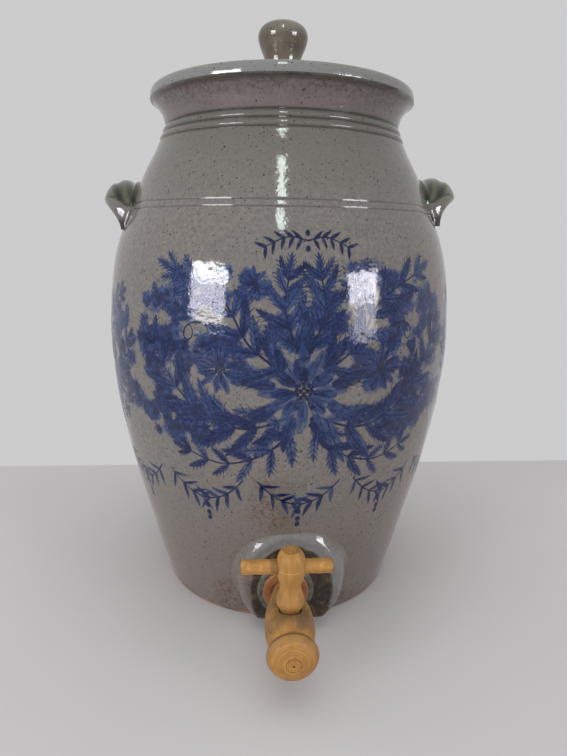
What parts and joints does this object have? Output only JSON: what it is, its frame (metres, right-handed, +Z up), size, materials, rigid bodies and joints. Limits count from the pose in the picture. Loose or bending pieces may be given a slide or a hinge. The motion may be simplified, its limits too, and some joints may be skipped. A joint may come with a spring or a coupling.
{
  "type": "clay water pot with tap",
  "caption": "Barrel-shaped stoneware water pot with lug handles, a knobbed inset lid and a turned wooden tap with a T-shaped key near its foot.",
  "frame": {"origin": "centre of the foot's flat underside, on the pot's axis", "axes": "+Z up along the pot's axis; the tap points along -Y; the lug handles stand at -X and +X"},
  "size_m": [0.2702, 0.3232, 0.4307],
  "materials": {
    "glazed_stoneware": "glossy speckled grey glaze",
    "handle_glaze": "glossy green-grey glaze",
    "knob_glaze": "glossy brown-grey glaze",
    "turned_wood": "satin turned wood",
    "cork": "damp cork",
    "washer_rubber": "aged rubber"
  },
  "bodies": {
    "pot": {"pot_body": "glazed_stoneware", "handle_left": "handle_glaze", "handle_right": "handle_glaze", "tap_boss": "glazed_stoneware", "tap_barrel": "turned_wood", "key_cork_liner": "cork", "bung_cork": "cork", "seal_washer": "washer_rubber"},
    "lid": {"lid_plate": "glazed_stoneware", "lid_knob": "knob_glaze"},
    "key": {"tap_key": "turned_wood", "key_crossbar": "turned_wood"}
  },
  "joints": [
    {"name": "lid_lift", "type": "slide", "parent": "pot", "child": "lid", "axis": [0, 0, 1], "range_m": [0, 0.07]},
    {"name": "key_turn", "type": "hinge", "parent": "pot", "child": "key", "pos_m": [0, -0.157, 0.037], "axis": [0, 0, 1], "continuous": true}
  ]
}
